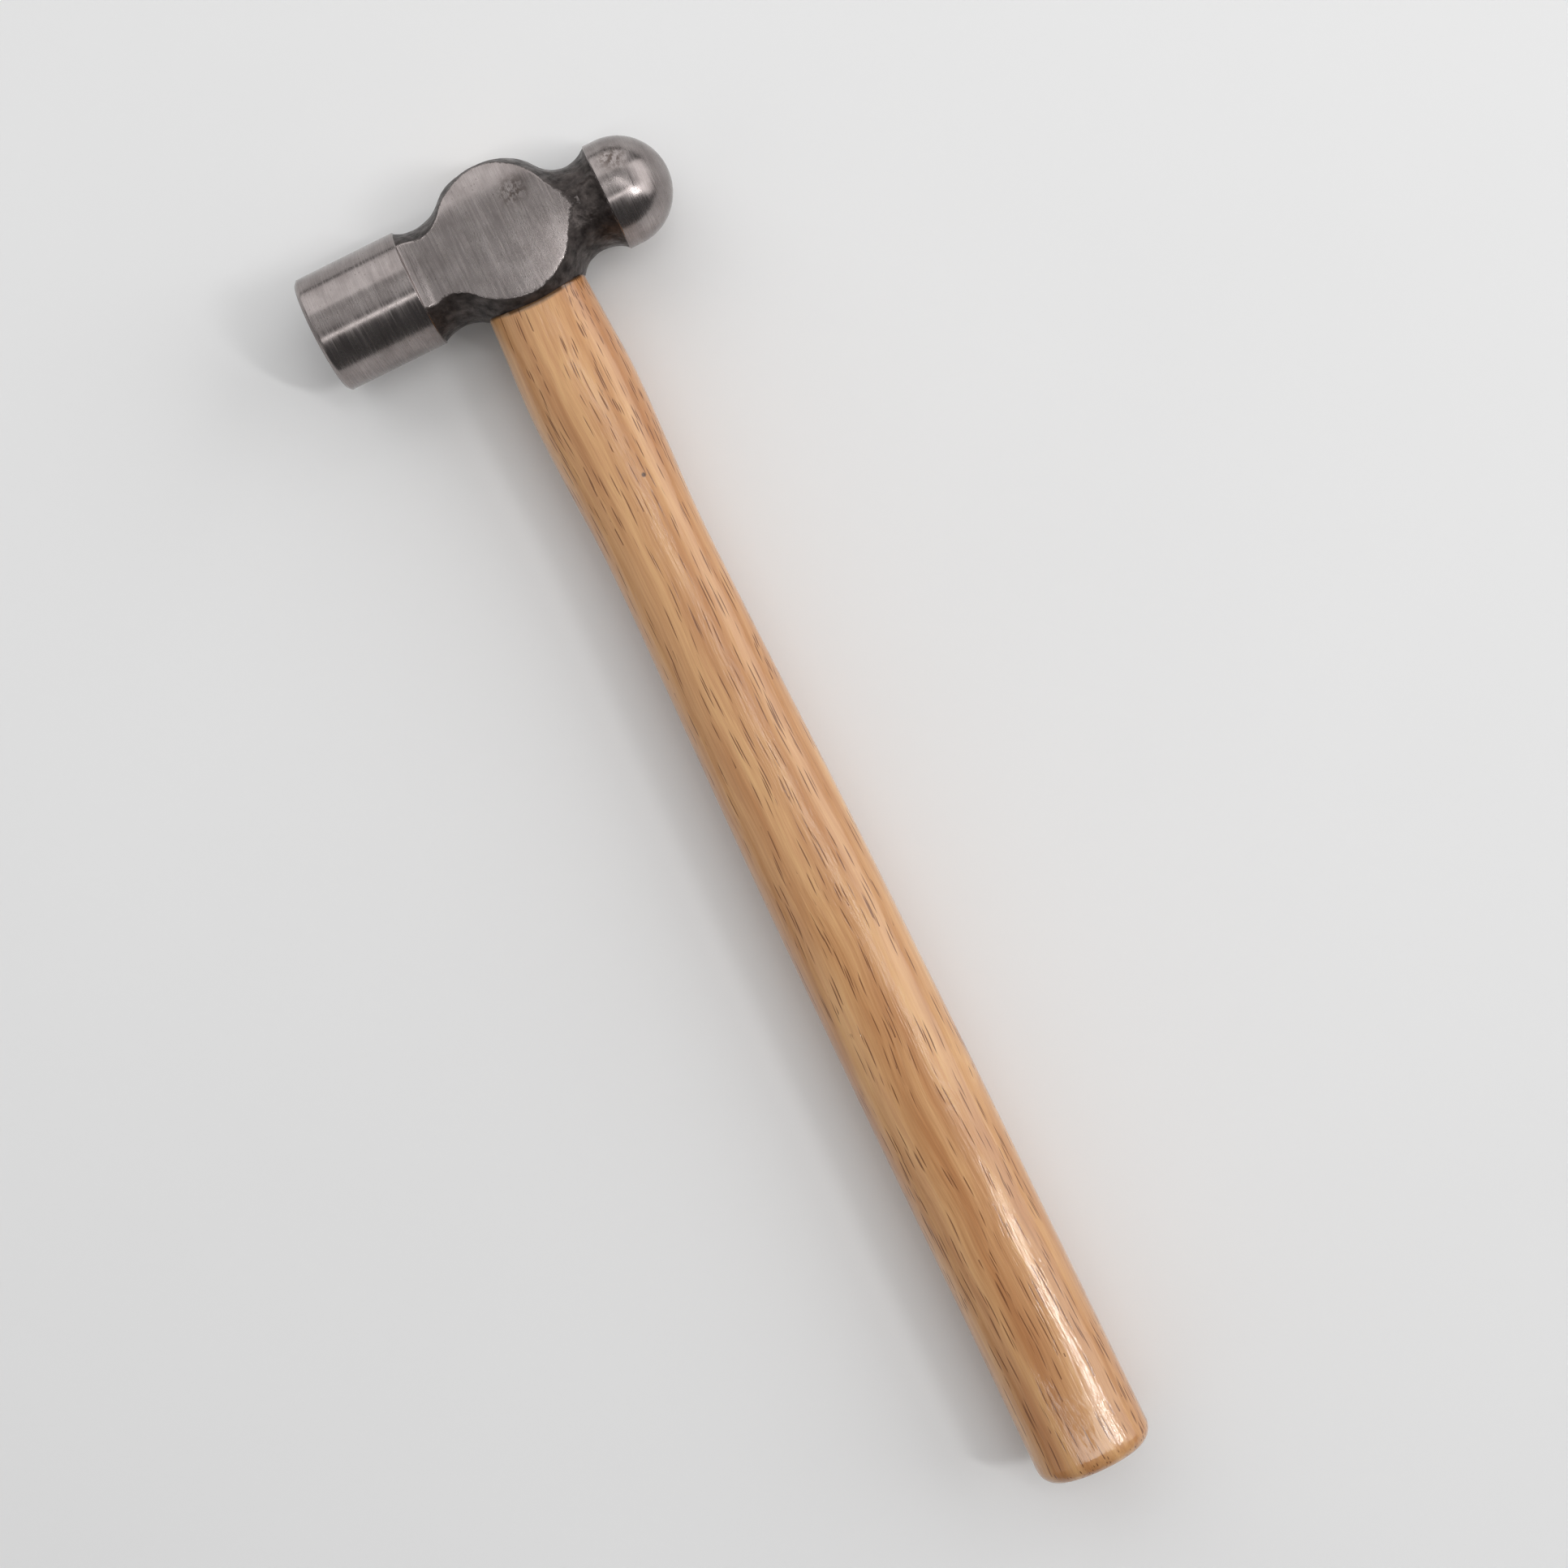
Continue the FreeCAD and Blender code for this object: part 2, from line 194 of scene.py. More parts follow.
# %% [markdown]
# ## The outline of the head
#
# The head starts as a round forging on one long axis: a cylinder behind the striking face, a
# hollow neck, a swollen block for the eye, a second neck and a half ball. Its outline is
# arcs, each found from the sizes a smith would measure. It could be turned with a Screw
# modifier, but two things then need the points themselves: the cheeks, which are ground
# flat, and the skin of the forging, which is never quite even. So the outline is sampled and
# swept in code.

# %% Outline of the forging
FACE_REACH = (head_x - face_x) / MM
TIP_REACH = (head_high[0] - head_x) / MM
POLL_RADIUS = (head_high[2] - head_z) / MM
CHEEK = (mounts["upper_cheek"]["pos_m"][2] - head_z) / MM
BEVEL = 0.8
RIM = 25.3                       # where the ground cylinder ends
POLL_NECK = (19.9, 13.2)         # place and radius of the first neck
BALL_NECK = (20.5, 11.1)         # and of the second
BLOCK_RADIUS = 21.2              # the eye block's crown, and the radius of its arc
BLOCK_ARC = 17.6
BALL_RIM = 26.5                  # where the ball's short cylinder starts
BALL_RADIUS = 13.7
POLL_RIM_DROP = 0.4              # the necks end this far below the ground surfaces
BALL_RIM_DROP = 0.3
BLOCK_MIDDLE = BLOCK_RADIUS - BLOCK_ARC


def hollow_arc(x, low_x, low_radius, end_x, end_radius):
    """A hollow arc that is level at its lowest point and passes through an end point."""
    rise = end_radius - low_radius
    radius = ((end_x - low_x) ** 2 + rise ** 2) / (2 * rise)
    return low_radius + radius - math.sqrt(max(radius ** 2 - (x - low_x) ** 2, 0))


def neck_touch(low_x, low_radius):
    """Where a neck's hollow arc runs into the round eye block, and the hollow's radius."""
    drop = low_radius - BLOCK_MIDDLE
    radius = (low_x ** 2 + drop ** 2 - BLOCK_ARC ** 2) / (2 * (BLOCK_ARC - drop))
    return low_x * BLOCK_ARC / (BLOCK_ARC + radius), radius


def forged_radius(x):
    """Radius of the forging, in mm, at a distance x along the head from its centre."""
    if x < -RIM:
        return POLL_RADIUS - max(0, BEVEL - (x + FACE_REACH))
    if x > TIP_REACH - BALL_RADIUS:
        return math.sqrt(max(BALL_RADIUS ** 2 - (x - TIP_REACH + BALL_RADIUS) ** 2, 0))
    if x > BALL_RIM:
        return BALL_RADIUS
    if x < 0:
        low_x, low_radius = POLL_NECK
        end_x, end_radius = RIM, POLL_RADIUS - POLL_RIM_DROP
    else:
        low_x, low_radius = BALL_NECK
        end_x, end_radius = BALL_RIM, BALL_RADIUS - BALL_RIM_DROP
    touch, radius = neck_touch(low_x, low_radius)
    if abs(x) < touch:
        return BLOCK_MIDDLE + math.sqrt(BLOCK_ARC ** 2 - x ** 2)
    if abs(x) < low_x:
        return low_radius + radius - math.sqrt(radius ** 2 - (abs(x) - low_x) ** 2)
    return hollow_arc(abs(x), low_x, low_radius, end_x, end_radius)


def smooth(low, high, value):
    """A soft step from 0 at the low end to 1 at the high end."""
    share = min(max((value - low) / (high - low), 0), 1)
    return share * share * (3 - 2 * share)


print("eye block radius, mm:", round(forged_radius(0), 2))
print("first neck radius, mm:", round(forged_radius(-POLL_NECK[0]), 2))

# %% [markdown]
# ## The skin of the forging
#
# A die forging is not quite round. The first neck is a little thicker from cheek to cheek, and
# the eye block a little thinner. Where no wheel has touched it, the skin is wavy and pitted.
# The cheeks are then ground flat: every point that stands above the cheek is drawn in towards
# the axis until it lies on the ground surface. Belt grinding leaves a cheek slightly crowned.
# It rolls over towards the wedge end, and it climbs in a shallow hollow to the cylinder.

# %% Cheeks and skin
CHEEK_RISE = 0.1                 # the crown stands this far above the cheek's plane
CROWN_RADIUS = 160               # the cheek's slight swell along the head
CROWN_TOP = -12                  # its highest line across, on the handle's side
ACROSS_DROP = 0.0017             # mm of fall per square mm away from that line
ROLL_START = 6                   # where the belt begins to roll over towards the wedge end
ROLL_DROP = 0.0007               # mm of fall per cubic mm beyond that
CLIMB_START = 21.0               # where the cheek begins to climb to the cylinder
CLIMB = 1.4
NECK_THICKER = 0.055             # share by which the first neck is thicker from cheek to cheek
BLOCK_THINNER = 0.07             # share by which the eye block is thinner
LEAN = -0.5                      # the ball sits off the axis, towards the butt
SEAM = 0.32                      # height of the torn seam on the second neck
WAVES = ((0.16, 0.16), (0.45, 0.08), (1.4, 0.035))     # waves and pits: per mm, and height


def across_share(x):
    """How much thicker the forging is from cheek to cheek than along the handle."""
    neck = smooth(-RIM, -22, x) * (1 - smooth(-17, -8, x))
    block = smooth(-14, -4, x) * (1 - smooth(6, 16, x))
    return 1 + NECK_THICKER * neck - BLOCK_THINNER * block


def ball_lean(x):
    """How far the forging is off its axis along the handle."""
    return LEAN * smooth(10, 24, x)


def ground_height(x, y):
    """Height of the ground cheek above the head's axis."""
    flat = CHEEK + CHEEK_RISE - x * x / (2 * CROWN_RADIUS) - ACROSS_DROP * (y - CROWN_TOP) ** 2
    flat -= ROLL_DROP * max(y - ROLL_START, 0) ** 3
    climb = min(max((-CLIMB_START - x) / (RIM - CLIMB_START), 0), 1)
    return flat + CLIMB * climb ** 2


def skin(x, angle, radius):
    """How far the forged skin stands off the true shape: waves, pits and a torn seam."""
    spot = Vector((x, radius * math.sin(angle), radius * math.cos(angle)))
    waves = sum(noise.noise(spot * fineness) * height for fineness, height in WAVES)
    side = 3.2 + 1.2 * noise.noise(Vector((x * 0.35, 4, 0))) - radius * math.sin(angle)
    seam = 0.0
    if math.cos(angle) > 0:
        seam = SEAM * smooth(-1.6, 0, side) * (1 - smooth(0, 0.35, side)) * smooth(15, 18, x)
    return waves + seam


middle_height = ground_height(0, 0)
print("ground cheek above the axis, mm:", round(middle_height, 2), "at its middle")

# %% [markdown]
# ## From outline to points
#
# The outline is sampled closely where it turns and loosely where it runs straight, and each
# sample becomes a ring of points. A point above the cheek slides in along its own ray, and the
# right place on the ray is found by halving, because the cheek is not a flat plane. The same
# function also makes a slightly larger, even copy of the forging, which later copes the handle.

# %% Points of the skin
DENSITY = 0.25     # mm between rings on the necks and the block
HALVINGS = 14                    # brings a point within a few thousandths of a millimetre


def station_list():
    """Places along the head, closer together where the outline turns."""

    def spread(low, high, step):
        return list(np.linspace(low, high, max(int(round((high - low) / step)), 1) + 1)[:-1])

    places = spread(-FACE_REACH, -FACE_REACH + BEVEL, 0.2)
    places += spread(-FACE_REACH + BEVEL, -RIM - 0.5, 0.6)
    places += spread(-RIM - 0.5, -RIM + 0.5, 0.1)
    places += spread(-RIM + 0.5, BALL_RIM - 0.4, DENSITY)
    places += spread(BALL_RIM - 0.4, BALL_RIM + 0.4, 0.1)
    places += spread(BALL_RIM + 0.4, TIP_REACH - BALL_RADIUS, 0.5)
    bend = np.linspace(0, math.pi / 2, 46)[:-1]
    places += list(TIP_REACH - BALL_RADIUS + BALL_RADIUS * np.sin(bend))
    return places


def ground_reach(x, angle, reach):
    """Draw a point in along its ray until it lies on the ground cheek, if it stands above it."""
    level, side = abs(math.cos(angle)), math.sin(angle)
    if reach * level <= ground_height(x, reach * side):
        return reach
    low, high = 0.0, reach
    for halving in range(HALVINGS):
        middle = (low + high) / 2
        if middle * level > ground_height(x, middle * side):
            high = middle
        else:
            low = middle
    return low


def head_skin(count, offset=0.0, rough=True, ground=True):
    """Points of the head's skin, ring by ring, in mm from the head's centre."""
    rings = [(-FACE_REACH, POLL_RADIUS - BEVEL, share) for share in (0.25, 0.5, 0.75, 0.95)]
    rings = [(x, radius * share) for x, radius, share in rings]
    rings += [(x, forged_radius(x)) for x in station_list()]
    points = [(-FACE_REACH - offset, 0, 0)]
    for x, radius in rings:
        share = across_share(x)
        forged = rough and -RIM < x < BALL_RIM
        fade = smooth(-RIM, -RIM + 1.2, x) * (1 - smooth(BALL_RIM - 1.0, BALL_RIM, x))
        lean = ball_lean(x)
        for step in range(count):
            angle = 2 * math.pi * step / count
            reach = radius / math.hypot(math.cos(angle) / share, math.sin(angle)) + offset
            if forged:
                reach += skin(x, angle, reach) * fade
            if ground and -RIM < x < BALL_NECK[0]:
                reach = ground_reach(x, angle, reach)
            points.append((x, reach * math.sin(angle) + lean, reach * math.cos(angle)))
    points.append((TIP_REACH + offset, ball_lean(TIP_REACH), 0))
    return points, len(rings)


print("rings along the head:", len(station_list()))

# %% [markdown]
# ## The head and its eye
#
# The skin is closed with one point at the middle of the striking face and one at the tip of
# the ball. The eye is an oval hole that narrows from both mouths to its middle, so it is cut
# with a waisted oval plug and a Boolean.

# %% Build the head
AROUND = 400
EYE_MIDDLE = (20.6, 13.8)        # length along the head and width across, mm
EYE_MOUTH = (24.7, 17.9)
MOUTH_REACH = BLOCK_RADIUS + 1.0


def oval_ring(y, length, width, count):
    turns = [2 * math.pi * step / count for step in range(count)]
    return [(length / 2 * math.cos(turn), y, width / 2 * math.sin(turn)) for turn in turns]


def plug(name, stations, count=96):
    """A closed oval plug along the handle, in metres, from stations of y, length and width."""
    points = [(0, stations[0][0], 0)]
    for y, length, width in stations:
        points += oval_ring(y, length, width, count)
    points.append((0, stations[-1][0], 0))
    return new_piece(name, placed(points), close_grid(len(stations), count))


def turn_out(piece):
    """Make every face of a closed mesh look outwards."""
    bpy.context.view_layer.objects.active = piece
    piece.select_set(True)
    bpy.ops.object.mode_set(mode="EDIT")
    bpy.ops.mesh.select_all(action="SELECT")
    bpy.ops.mesh.normals_make_consistent(inside=False)
    bpy.ops.object.mode_set(mode="OBJECT")
    piece.select_set(False)


head_points, head_rings = head_skin(AROUND)
head = new_piece("forged_head", placed(head_points), close_grid(head_rings, AROUND))
turn_out(head)
eye_tool = plug("eye_tool", [
    (-MOUTH_REACH, *EYE_MOUTH),
    (0, *EYE_MIDDLE),
    (MOUTH_REACH, *EYE_MOUTH),
])
turn_out(eye_tool)
cut(head, eye_tool)
bpy.data.objects.remove(eye_tool)
print("head points:", len(head.data.vertices), "faces:", len(head.data.polygons))

# %% [markdown]
# ## Where the wheel has been
#
# The steel shows two finishes, and the line between them follows the shape: bright where a
# point was ground, black where the forging's skin is left. Each point of the mesh keeps how
# far it is from that line, in millimetres, and the material turns it into a crisp, slightly
# ragged edge. The numbers are worked out again after the cut, so the cut needs no care.

# %% Mark ground and forged steel
def forged_depth(point):
    """Above zero where the forged skin is left, below zero where the steel is ground."""
    x, y, z = point
    y -= ball_lean(x)
    if x <= -RIM + 0.02 or x >= BALL_RIM - 0.02:
        return min(x + RIM, BALL_RIM - x) - 0.3
    share = across_share(x)
    angle = math.atan2(y, z)
    radius = forged_radius(x) / math.hypot(math.cos(angle) / share, math.sin(angle))
    inside = radius - math.hypot(y, z)
    edge = min(x + RIM, BALL_RIM - x)
    if x > BALL_NECK[0]:
        return edge
    above = radius * abs(math.cos(angle)) - ground_height(x, radius * math.sin(angle))
    if inside > 1.5 and above < 1.0:
        return 1.0
    return min(edge, -above)


def mark_finish(piece):
    field = piece.data.attributes.new("forged_depth", "FLOAT", "POINT")
    points = ((vertex.co - HEAD) / MM for vertex in piece.data.vertices)
    field.data.foreach_set("value", [forged_depth(point) for point in points])


mark_finish(head)
head.data.shade_smooth()
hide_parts("head")
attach(head, "root")
marks = [mark.value for mark in head.data.attributes["forged_depth"].data]
print("share of the points on forged skin:", round(sum(mark > 0 for mark in marks) / len(marks), 2))

# %% [markdown]
# ## The handle
#
# The handle is one stick of hardwood, turned and sanded to an oval. It swells a little below
# the head, has a waist, grows again to the grip, and ends in a rounded butt. Its outline is a
# smooth curve through a few widths. The section is between an ellipse and a rounded box, which
# a power slightly above two gives, and hand sanding leaves it a tenth of a millimetre uneven.

# %% Shape the shaft
SHAFT = (                        # distance from the head's centre and half width, mm
    (13.8, 13.1), (26, 13.7), (42, 14.45), (60, 13.95), (82, 13.1), (120, 13.6),
    (172, 14.6), (240, 15.05), (300, 15.2), (340, 15.2),
)
BUTT_REACH = (head_y - handle_low[1]) / MM
TENON_END = (handle_high[1] - head_y) / MM
BUTT_ROUND = 4.4
THICKNESS = 0.79                 # of the width
SECTION_POWER = 2.15             # 2 is an ellipse
UNEVEN = 0.12                    # mm left by the sanding


def half_width(reach):
    """A smooth curve through the widths of the shaft (Catmull and Rom's)."""
    index = max(place for place in range(len(SHAFT) - 1) if SHAFT[place][0] <= reach)
    before, after = SHAFT[index], SHAFT[index + 1]
    first = SHAFT[max(index - 1, 0)]
    last = SHAFT[min(index + 2, len(SHAFT) - 1)]
    span = after[0] - before[0]
    share = (reach - before[0]) / span
    leave = (after[1] - first[1]) / (after[0] - first[0]) * span
    arrive = (last[1] - before[1]) / (last[0] - before[0]) * span
    cube, square = share ** 3, share ** 2
    return (
        before[1] * (2 * cube - 3 * square + 1) + leave * (cube - 2 * square + share)
        + after[1] * (3 * square - 2 * cube) + arrive * (cube - square)
    )


def shaft_stations(step):
    """Distance from the head's centre and half width, from the butt up to the head."""
    stations = []
    butt_width = half_width(BUTT_REACH)
    top = BUTT_REACH - BUTT_ROUND
    for turn in np.linspace(0, math.pi / 2, 14):
        reach = top + BUTT_ROUND * math.cos(turn)
        stations.append((reach, butt_width - BUTT_ROUND * (1 - math.sin(turn))))
    low = SHAFT[0][0]
    for reach in np.arange(top - step, low, -step):
        stations.append((reach, half_width(reach)))
    stations.append((low, SHAFT[0][1]))
    return stations


def make_shaft(step, count):
    stations = shaft_stations(step)
    points = [(0, -BUTT_REACH, 0)]
    flat = stations[0][1]
    rings = [(stations[0][0], flat * share) for share in (0.3, 0.6, 0.85)] + stations
    for reach, width in rings:
        for turn in range(count):
            angle = 2 * math.pi * turn / count
            power = 2 / SECTION_POWER
            across = math.copysign(abs(math.cos(angle)) ** power, math.cos(angle))
            upward = math.copysign(abs(math.sin(angle)) ** power, math.sin(angle))
            bow = UNEVEN * noise.noise(Vector((reach / 45, angle, 2.5)))
            points.append(((width + bow) * across, -reach, (width * THICKNESS + bow) * upward))
    points.append((0, -SHAFT[0][0], 0))
    return new_piece("turned_handle", placed(points), close_grid(len(rings), count))


handle = make_shaft(1.5, 160)
turn_out(handle)
print("shaft widths, mm:", [round(2 * half_width(reach), 1) for reach in (42, 82, 300)])

# %% [markdown]
# ## Cope, tenon and slots
#
# At the top the shaft is coped to the round underside of the eye block and goes on as a
# tenon through the eye. The shaft is cut with an even copy of the forging. The tenon is
# an oval plug, slotted with copies of the wedges, and then joined to the shaft. Each copy
# stands a millimetre taller than its wedge, so that its slot is open at the sawn end, and its
# points are welded, because a Boolean needs a closed mesh.

# %% Fit the handle to the head
COPE_GAP = 0.06
GAP = 0.03                       # between the tenon and the wall of the eye


def tall_copy(wedge):
    """A closed copy of a wedge that stands a millimetre out of the tenon."""
    tool = bpy.data.objects.new(wedge.name + "_tool", wedge.data.copy())
    bpy.context.collection.objects.link(tool)
    top = max(vertex.co.y for vertex in tool.data.vertices)
    for vertex in tool.data.vertices:
        if vertex.co.y > top - 0.01 * MM:
            vertex.co.y += MM
    welded = bmesh.new()
    welded.from_mesh(tool.data)
    bmesh.ops.remove_doubles(welded, verts=welded.verts, dist=0.01 * MM)
    welded.to_mesh(tool.data)
    welded.free()
    turn_out(tool)
    return tool


COPE_AROUND = 160
cope_points, cope_rings = head_skin(COPE_AROUND, offset=COPE_GAP, rough=False, ground=False)
cope = new_piece("cope", placed(cope_points), close_grid(cope_rings, COPE_AROUND))
turn_out(cope)
cut(handle, cope)
end_share = TENON_END / MOUTH_REACH
tenon_length = EYE_MIDDLE[0] + (EYE_MOUTH[0] - EYE_MIDDLE[0]) * end_share - 2 * GAP
tenon_width = EYE_MIDDLE[1] + (EYE_MOUTH[1] - EYE_MIDDLE[1]) * end_share - 2 * GAP
tenon = plug("tenon", [
    (-MOUTH_REACH - 1, EYE_MOUTH[0] - 2 * GAP, EYE_MOUTH[1] - 2 * GAP),
    (0, EYE_MIDDLE[0] - 2 * GAP, EYE_MIDDLE[1] - 2 * GAP),
    (TENON_END, tenon_length, tenon_width),
])
turn_out(tenon)
for wedge_name in ("wood_wedge", "steel_wedge_1", "steel_wedge_2"):
    slot_tool = tall_copy(frame["nodes"][wedge_name])
    cut(tenon, slot_tool)
    bpy.data.objects.remove(slot_tool)
cut(handle, tenon, "UNION")
for tool in (cope, tenon):
    bpy.data.objects.remove(tool)
print("handle points:", len(handle.data.vertices))

# %% [markdown]
# ## Where the wood meets the steel
#
# The corner under the head gets a painted shade, with some dirt in it. Each point of the shaft keeps its
# distance from the forging, in millimetres, so that the finish can darken there. The tenon gets a large
# number, so that the painted shade stays off it inside the eye.

# %% Mark the corner under the head
NECK_SPAN = 14                   # the cope reaches this far along the head, mm
# a distance far enough from the steel that the painted corner shade leaves these points alone
PAST_CORNER_SHADE = 9.0

below = handle.data.attributes.new("below_head", "FLOAT", "POINT")
spots = [(vertex.co - HEAD) / MM for vertex in handle.data.vertices]
gaps = [
    math.hypot(y, z) - forged_radius(min(max(x, -NECK_SPAN), NECK_SPAN)) if y < -10 else PAST_CORNER_SHADE
    for x, y, z in spots
]
below.data.foreach_set("value", gaps)
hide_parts("handle")
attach(handle, "root")
print("points within a millimetre of the head:", sum(gap < 1 for gap in gaps))

# %% [markdown]
# ## Steel, ground and black
#
# The head is medium carbon steel, drop forged, hardened, then ground on a belt where it works.
# Ground steel is a plain metal: a warm grey colour, no coat, a middling roughness. The belt
# leaves fine lines that all lie across the head's long axis, so the gloss is drawn out along
# it, which is what anisotropy is for. Forge scale is iron oxide, a nearly black crust, pitted
# and only faintly metallic. One shader holds both, and the mark made on the mesh mixes them.
# The line between them is nibbled by a little noise, as a real ground edge is.

# %% Steel: where it is black
steel, tree = new_material("belt_ground_and_scaled_carbon_steel")
place = add(tree, "TexCoord").outputs["Object"]
spot = add(tree, "Mapping", {"Vector": place, "Location": -HEAD / MM, "Scale": (1 / MM, 1 / MM, 1 / MM)})
spot = spot.outputs["Vector"]
depth = add(tree, "Attribute", attribute_name="forged_depth").outputs["Fac"]
nibble = add(tree, "TexNoise", {"Vector": spot, "Scale": 1 / 1.3, "Detail": 5.0, "Roughness": 0.7})
nibbled = add(tree, "Math", {0: nibble.outputs["Fac"], 1: 1.1, 2: depth}, operation="MULTIPLY_ADD")
black = add(tree, "MapRange", {"Value": nibbled.outputs["Value"], "From Min": 0.5, "From Max": 0.75})
black = black.outputs["Result"]
print("steel nodes so far:", len(tree.nodes))

# %% [markdown]
# ## Belt lines, rust and scale
#
# Real belt lines are 0.05 to 0.1 mm apart. They are drawn 0.3 mm apart so that they show. A
# broader set, where single grains of grit dug deeper, breaks up their evenness. Both are noise
# pulled long across the head. Rust has begun in specks about 0.3 mm wide, and in a smudge on
# the ball and one on the cheek, where a damp finger has been.

# %% Steel: colour
LINE = 0.3
LINE_LENGTH = 9.0
BROAD = 1.6
BROAD_LENGTH = 30.0
lines_place = add(tree, "Mapping", {
    "Vector": spot, "Scale": (1 / LINE, 1 / LINE_LENGTH, 1 / LINE_LENGTH)})
lines = add(tree, "TexNoise", {
    "Vector": lines_place.outputs["Vector"], "Scale": 1.0, "Detail": 3.0})
broad_place = add(tree, "Mapping", {
    "Vector": spot, "Scale": (1 / BROAD, 1 / BROAD_LENGTH, 1 / BROAD_LENGTH)})
broad = add(tree, "TexNoise", {
    "Vector": broad_place.outputs["Vector"], "Scale": 1.0, "Detail": 4.0})
cloud = add(tree, "TexNoise", {"Vector": spot, "Scale": 1 / 7.0, "Detail": 5.0, "Roughness": 0.6})

bright = add(tree, "ValToRGB", {"Fac": cloud.outputs["Fac"]})
bright.color_ramp.elements[0].position = 0.3
bright.color_ramp.elements[0].color = colour("#867e7c")
bright.color_ramp.elements[1].position = 0.7
bright.color_ramp.elements[1].color = colour("#a39b99")
lined = add(tree, "Mix", {"Factor": 0.32, 6: bright.outputs["Color"], 7: lines.outputs["Fac"]},
            data_type="RGBA", blend_type="OVERLAY")
streaked = add(tree, "Mix", {"Factor": 0.14, 6: lined.outputs[2], 7: broad.outputs["Fac"]},
               data_type="RGBA", blend_type="OVERLAY")

BALL_SMUDGE = (32.0, 5.0, 12.5)
CHEEK_SMUDGE = (6.5, 8.5, 12.3)
specks = add(tree, "TexVoronoi", {"Vector": spot, "Scale": 1 / 1.5})
near_ball = add(tree, "VectorMath", {0: spot, 1: BALL_SMUDGE}, operation="DISTANCE")
near_cheek = add(tree, "VectorMath", {0: spot, 1: CHEEK_SMUDGE}, operation="DISTANCE")
near = add(tree, "Math", {0: near_ball.outputs["Value"], 1: near_cheek.outputs["Value"]},
           operation="MINIMUM")
patch = add(tree, "MapRange", {"Value": near.outputs["Value"], "From Min": 5.0, "From Max": 1.5})
smudge = add(tree, "TexNoise", {"Vector": spot, "Scale": 1 / 1.6, "Detail": 5.0, "Roughness": 0.7})
smudge = add(tree, "MapRange", {
    "Value": smudge.outputs["Fac"], "From Min": 0.42, "From Max": 0.54, "To Max": 0.8})
smudge = add(tree, "Math", {0: smudge.outputs["Result"], 1: patch.outputs["Result"]},
             operation="MULTIPLY")
drift = add(tree, "Math", {0: cloud.outputs["Fac"], 1: 0.09}, operation="MULTIPLY")
speck = add(tree, "Math", {0: drift.outputs["Value"], 1: specks.outputs["Distance"]},
            operation="SUBTRACT")
speck = add(tree, "MapRange", {
    "Value": speck.outputs["Value"], "From Min": -0.08, "From Max": 0.02, "To Max": 0.8})
rust = add(tree, "Math", {0: speck.outputs["Result"], 1: smudge.outputs["Value"]},
           operation="MAXIMUM")
stained = add(tree, "Mix", {"Factor": rust.outputs["Value"], 6: streaked.outputs[2], 7: "#4d423c"},
              data_type="RGBA")

crust = add(tree, "TexNoise", {"Vector": spot, "Scale": 1 / 2.6, "Detail": 6.0, "Roughness": 0.58})
scale_tint = add(tree, "ValToRGB", {"Fac": crust.outputs["Fac"]})
scale_tint.color_ramp.elements[0].position = 0.36
scale_tint.color_ramp.elements[0].color = colour("#231c1a")
scale_tint.color_ramp.elements[1].position = 0.72
scale_tint.color_ramp.elements[1].color = colour("#58504d")
steel_tint = add(tree, "Mix", {
    "Factor": black, 6: stained.outputs[2], 7: scale_tint.outputs["Color"]}, data_type="RGBA")
print("steel nodes so far:", len(tree.nodes))

# %% [markdown]
# ## Gloss and relief of the steel
#
# The same patterns now say how glossy each place is and how far it stands up. Belt lines are
# about a hundredth of a millimetre deep and the pits of the scale a few tenths, so the heights
# are given in millimetres and one bump node turns them into light and shade.

# %% Steel: gloss and relief
LINE_HEIGHT = 0.007
BROAD_HEIGHT = 0.016
SCALE_HEIGHT = 0.45
metal = add(tree, "MapRange", {"Value": black, "To Min": 1.0, "To Max": 0.55})
ground_rough = add(tree, "MapRange", {
    "Value": lines.outputs["Fac"],
    "From Min": 0.3, "From Max": 0.7, "To Min": 0.2, "To Max": 0.32})
scale_rough = add(tree, "MapRange", {
    "Value": crust.outputs["Fac"],
    "From Min": 0.3, "From Max": 0.7, "To Min": 0.55, "To Max": 0.3})
rough = add(tree, "Mix", {
    0: black, 2: ground_rough.outputs["Result"], 3: scale_rough.outputs["Result"]})

fine_relief = add(tree, "Math", {0: lines.outputs["Fac"], 1: LINE_HEIGHT}, operation="MULTIPLY")
ground_relief = add(tree, "Math", {
    0: broad.outputs["Fac"], 1: BROAD_HEIGHT, 2: fine_relief.outputs["Value"]},
    operation="MULTIPLY_ADD")
scale_relief = add(tree, "Math", {0: crust.outputs["Fac"], 1: SCALE_HEIGHT}, operation="MULTIPLY")
relief = add(tree, "Mix", {
    0: black, 2: ground_relief.outputs["Value"], 3: scale_relief.outputs["Value"]})
bump = add(tree, "Bump", {"Height": relief.outputs[0], "Distance": MM, "Strength": 1.0})
around = add(tree, "Tangent", direction_type="RADIAL", axis="X")
skin_shader = add(tree, "BsdfPrincipled", {
    "Base Color": steel_tint.outputs[2],
    "Metallic": metal.outputs["Result"],
    "Roughness": rough.outputs[0],
    "Anisotropic": 0.55,
    "Anisotropic Rotation": 0.25,
    "Tangent": around.outputs["Tangent"],
    "Normal": bump.outputs["Normal"],
})
add(tree, "OutputMaterial", {"Surface": skin_shader.outputs["BSDF"]})
head.data.materials.clear()
head.data.materials.append(steel)
print("steel nodes:", len(tree.nodes))

# %% [markdown]
# ## Lacquered hevea
#
# The handle is hevea, the rubber tree's wood: straw to tan, with wide pores that show as brown
# dashes several millimetres long, in loose bands, and soft streaks from the growth rings. All
# of it is noise pulled long in the direction of the grain, and the grain itself wanders by a
# millimetre or two along the handle.

